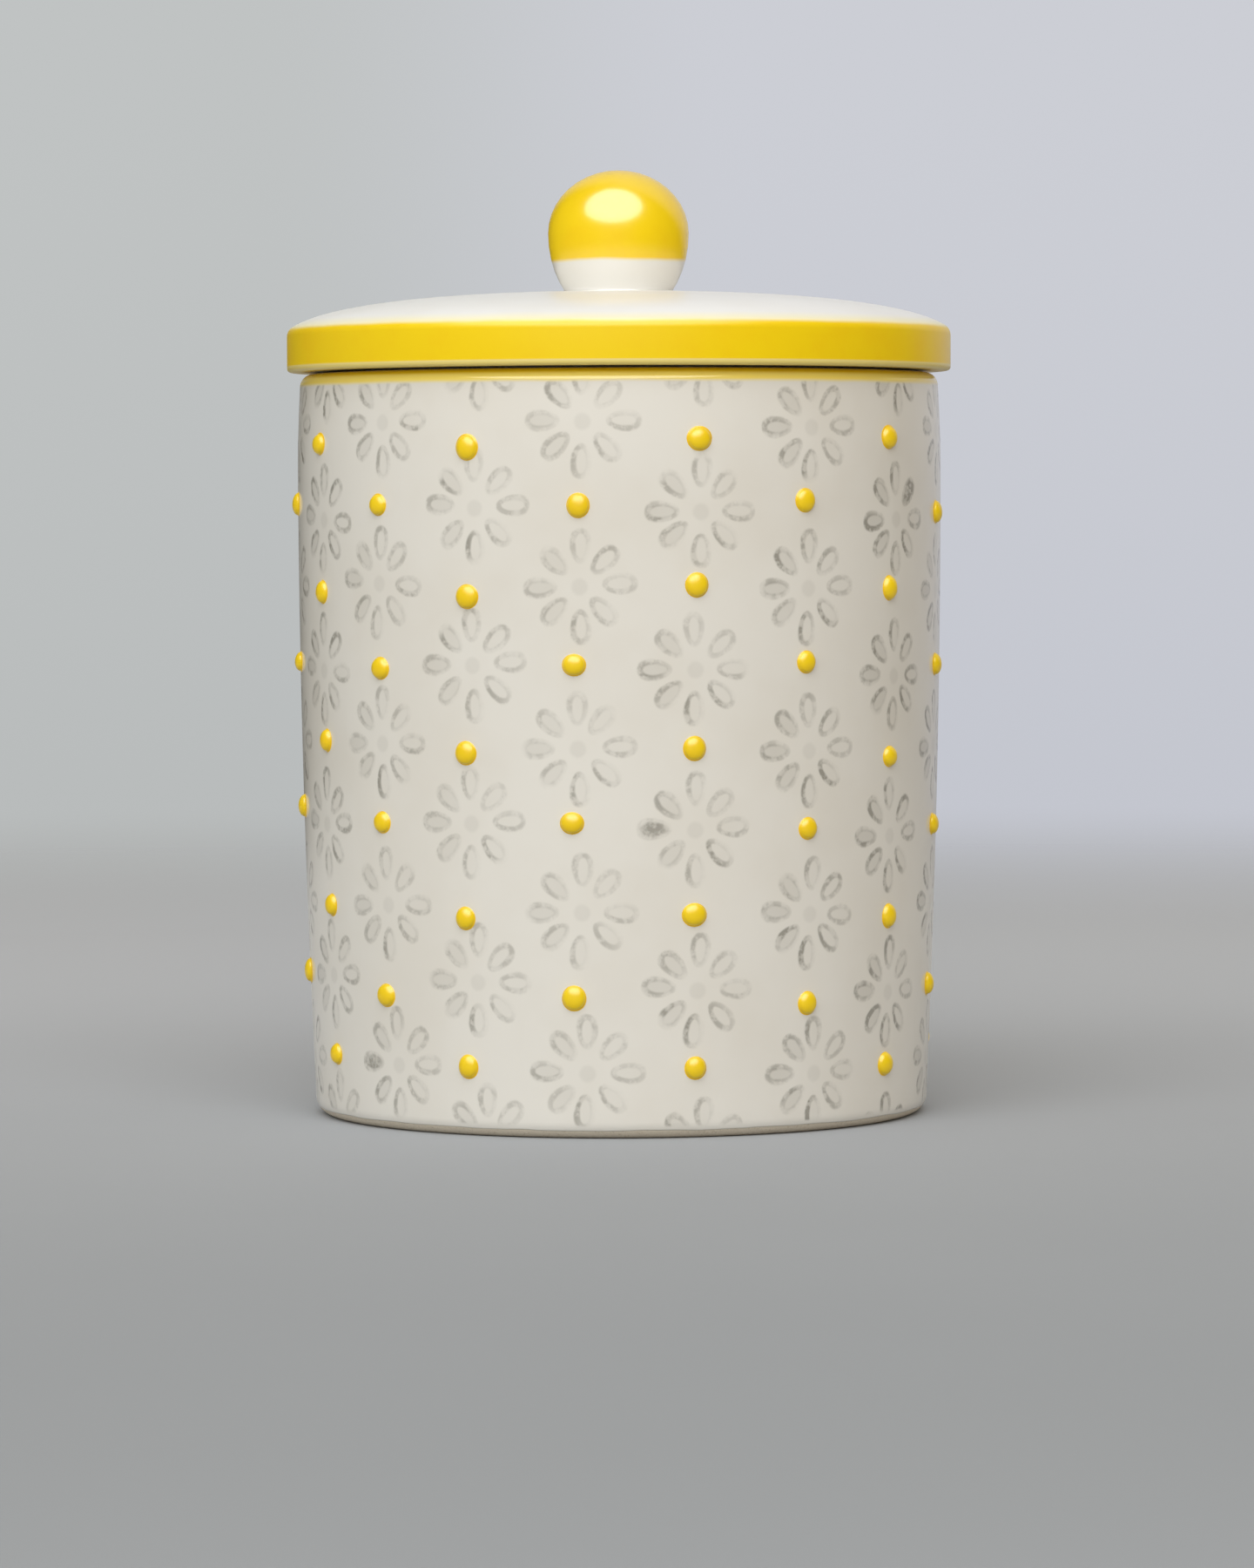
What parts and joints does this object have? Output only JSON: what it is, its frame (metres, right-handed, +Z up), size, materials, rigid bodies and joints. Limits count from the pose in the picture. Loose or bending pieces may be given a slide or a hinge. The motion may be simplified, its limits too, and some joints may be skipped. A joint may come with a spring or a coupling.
{
  "type": "lidded storage jar",
  "caption": "Round glazed storage jar with straight, slightly tapered walls, raised dots, and a low domed lid with a ball knob that lifts off.",
  "frame": {"origin": "centre of the circle that the foot ring stands on, at the jar's lowest point", "axes": "+Z up along the jar's axis, from the foot to the knob; -Y towards the viewer of the picture"},
  "size_m": [0.105, 0.105, 0.149],
  "materials": {
    "ivory_glaze": "gloss",
    "yellow_glaze": "gloss",
    "silicone": "satin"
  },
  "bodies": {
    "jar": {"jar": "ivory_glaze"},
    "seal": {"seal_ring": "silicone"},
    "lid": {"lid": "ivory_glaze", "knob": "yellow_glaze"}
  },
  "joints": [
    {"name": "lid_lift", "type": "slide", "parent": "jar", "child": "seal", "axis": [0, 0, 1], "range_m": [0, 0.12]},
    {"name": "lid_turn", "type": "hinge", "parent": "seal", "child": "lid", "pos_m": [0, 0, 0.1172], "axis": [0, 0, 1], "continuous": true}
  ]
}
